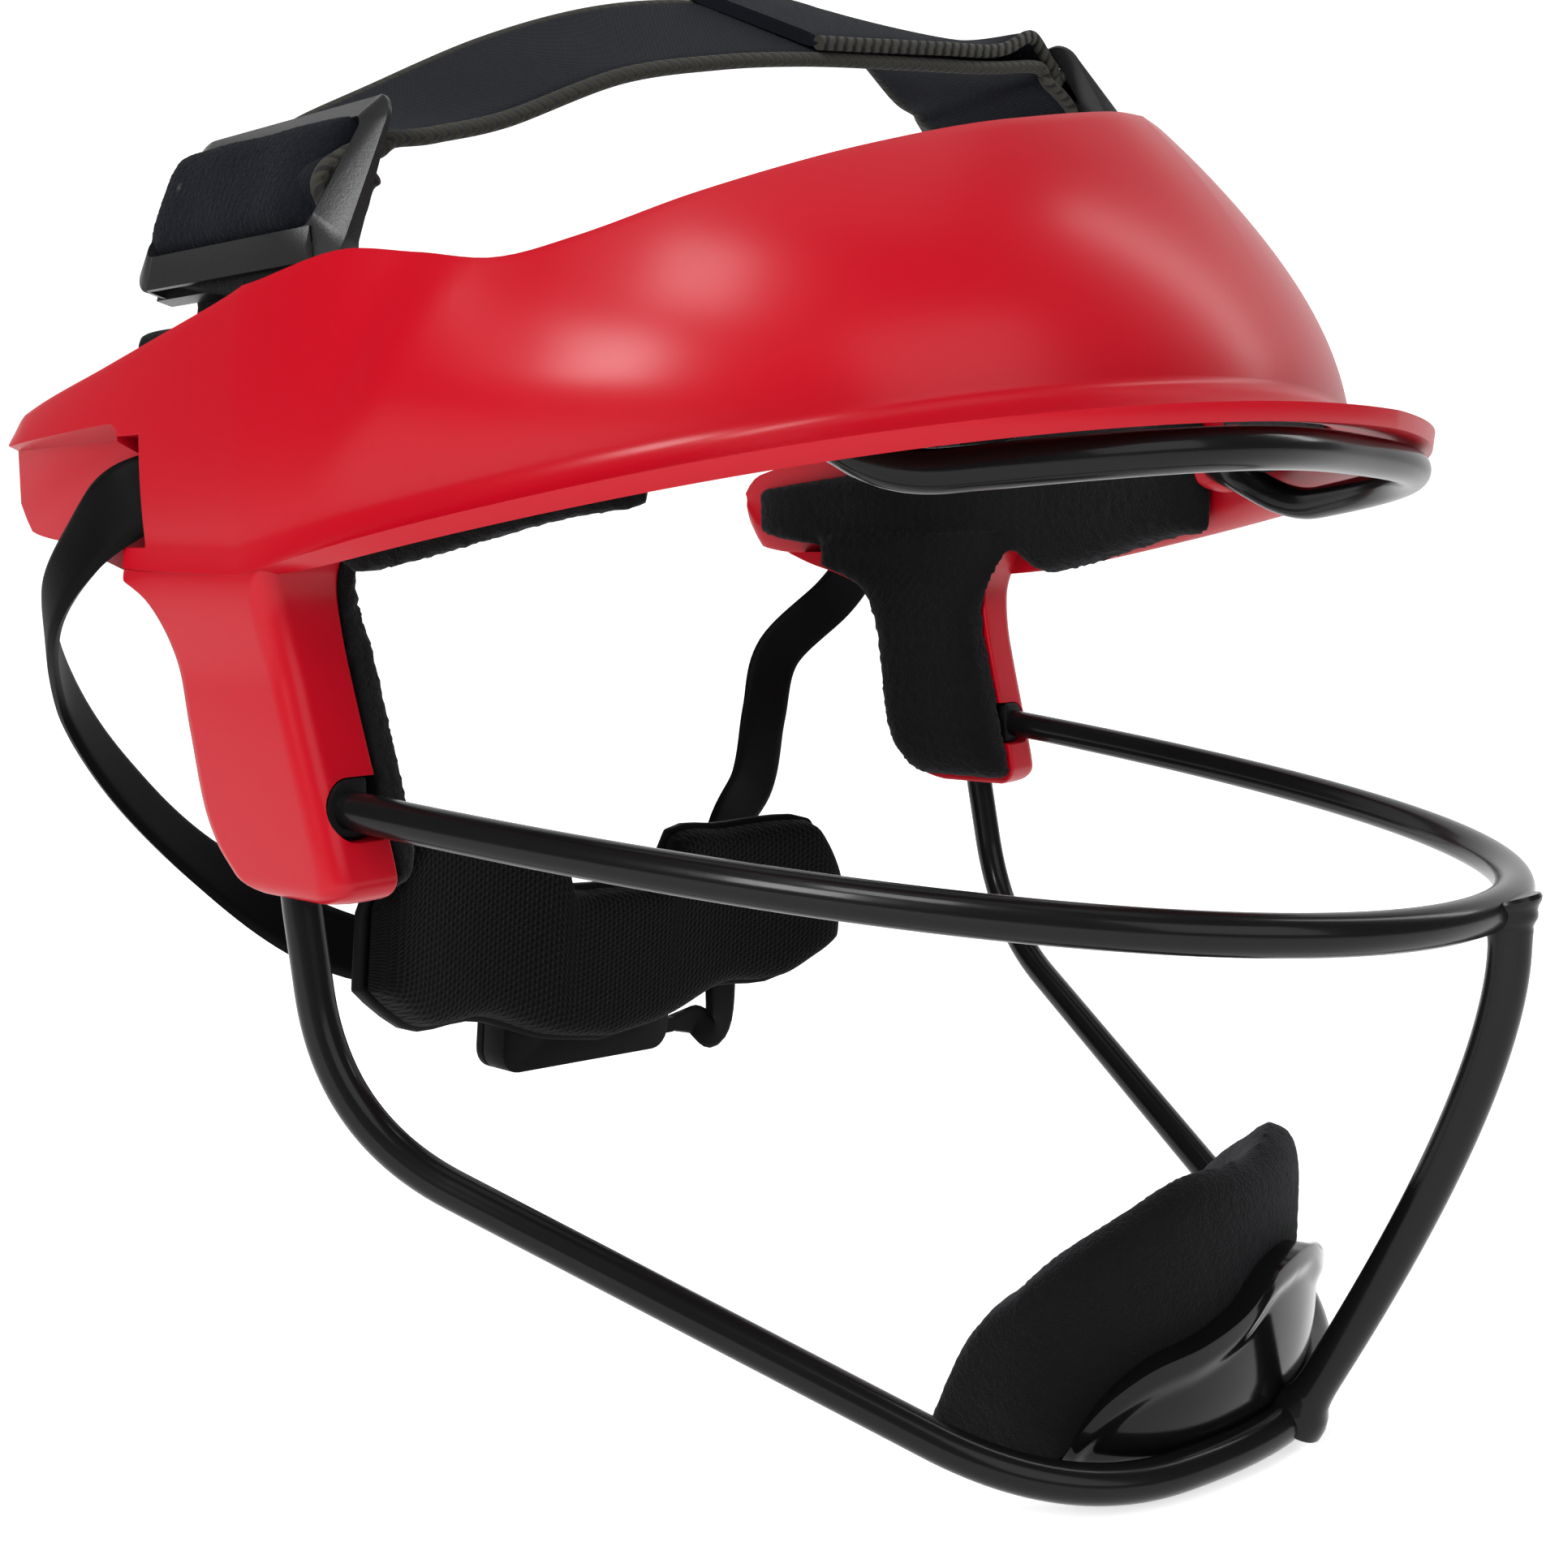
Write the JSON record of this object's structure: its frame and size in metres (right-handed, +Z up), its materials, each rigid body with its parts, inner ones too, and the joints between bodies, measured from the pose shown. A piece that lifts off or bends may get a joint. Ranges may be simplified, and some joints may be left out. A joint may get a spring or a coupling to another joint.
{
  "type": "face guard",
  "caption": "Fielder's face guard: a moulded head band with padded legs, a welded wire cage, a padded chin cup, an elastic top strap and a dial-adjusted rear cradle",
  "frame": {"origin": "midway between the two sockets of the middle bar, at the wearer's temples", "axes": "+Z up through the crown as worn, -Y the way the face looks, -X the wearer's right"},
  "size_m": [0.1856, 0.1889, 0.2154],
  "materials": {
    "red_shell": "satin moulded nylon blend with broad soft highlights",
    "wire_coat": "gloss black coating over steel wire",
    "cup_black": "polished black moulding",
    "felt": "brushed fabric over foam",
    "grommet": "matt black rubber",
    "loop_grey": "satin charcoal moulding with a fine grain",
    "elastic": "charcoal knit elastic with braided edges",
    "strap_black": "matt flexible black strip",
    "dial_black": "matt black moulding",
    "rivet_dark": "blackened metal",
    "gear_white": "natural acetal",
    "bare_steel": "plain steel"
  },
  "bodies": {
    "band": {"shell": "red_shell", "brow_pad": "felt", "side_pad_right": "felt", "side_pad_left": "felt", "brow_wire": "wire_coat", "mid_bar": "wire_coat", "jaw_wire": "wire_coat", "front_post": "wire_coat", "bar_grommet_right": "grommet", "bar_grommet_left": "grommet", "chin_cup": "cup_black", "chin_pad": "felt", "tab_right": "elastic", "tab_left": "elastic", "tab_rivet_right": "rivet_dark", "tab_rivet_left": "rivet_dark", "side_band_right": "strap_black", "side_band_left": "strap_black", "band_rivet_right": "rivet_dark", "band_rivet_left": "rivet_dark"},
    "strap": {"loop_right": "loop_grey", "loop_left": "loop_grey", "top_strap": "elastic"},
    "cradle": {"cradle_plate": "dial_black", "cradle_pad": "felt", "dial_base": "dial_black", "dial_cover": "dial_black", "detent_spring": "bare_steel"},
    "dial": {"dial_knob": "dial_black", "dial_pinion": "gear_white", "dial_screw": "bare_steel"},
    "rack_right_end": {"rack_right": "strap_black"},
    "rack_left_end": {"rack_left": "strap_black"}
  },
  "joints": [
    {"name": "strap_swing", "type": "hinge", "parent": "band", "child": "strap", "pos_m": [0.00395, 0.0092, 0.08505], "axis": [0.9599, -0.1535, 0.2344], "range_deg": [-12, 12], "deforming": ["tab_right", "tab_left"]},
    {"name": "cradle_reach", "type": "slide", "parent": "band", "child": "cradle", "axis": [0, -1, 0], "range_m": [-0.004, 0.008]},
    {"name": "dial_turn", "type": "hinge", "parent": "cradle", "child": "dial", "pos_m": [0.00275, 0.043, -0.04594], "axis": [0, 1, 0], "range_deg": [-38.21, 76.4]},
    {"name": "rack_right_slide", "type": "slide", "parent": "band", "child": "rack_right_end", "axis": [0.7039, -0.7071, -0.0678], "range_m": [-0.00566, 0.01132], "deforming": ["side_band_right"]},
    {"name": "rack_left_slide", "type": "slide", "parent": "band", "child": "rack_left_end", "axis": [-0.7039, -0.7071, 0.0678], "range_m": [-0.00566, 0.01132], "deforming": ["side_band_left"]}
  ],
  "couplings": [
    {"joint": "dial_turn", "follows": "cradle_reach", "rad_per_m": 166.67},
    {"joint": "rack_right_slide", "follows": "cradle_reach", "ratio": 1.4142},
    {"joint": "rack_left_slide", "follows": "cradle_reach", "ratio": 1.4142}
  ]
}
